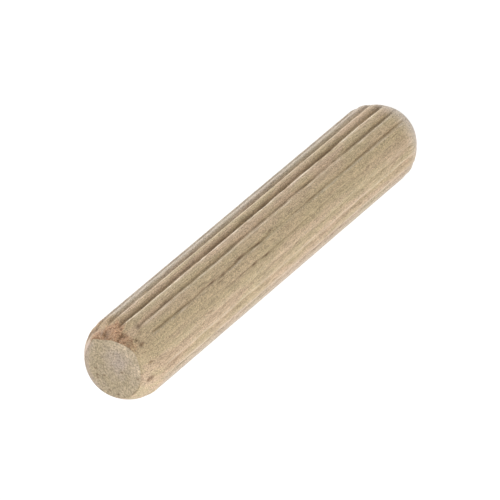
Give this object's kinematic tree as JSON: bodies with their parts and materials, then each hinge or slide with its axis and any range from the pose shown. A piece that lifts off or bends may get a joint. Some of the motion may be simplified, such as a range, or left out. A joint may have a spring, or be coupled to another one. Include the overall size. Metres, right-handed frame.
{
  "type": "dowel pin",
  "caption": "Straight wooden dowel pin with fluted sides and chamfered ends, for gluing two boards together.",
  "frame": {"origin": "centre of the bottom end face, on the pin's axis", "axes": "+Z along the pin's axis, from the bottom end to the top end; +X through the middle of a land"},
  "size_m": [0.008, 0.008, 0.05],
  "materials": {
    "beech": "bare fluted beech, matt"
  },
  "bodies": {
    "root": {"dowel_pin": "beech"}
  },
  "joints": []
}
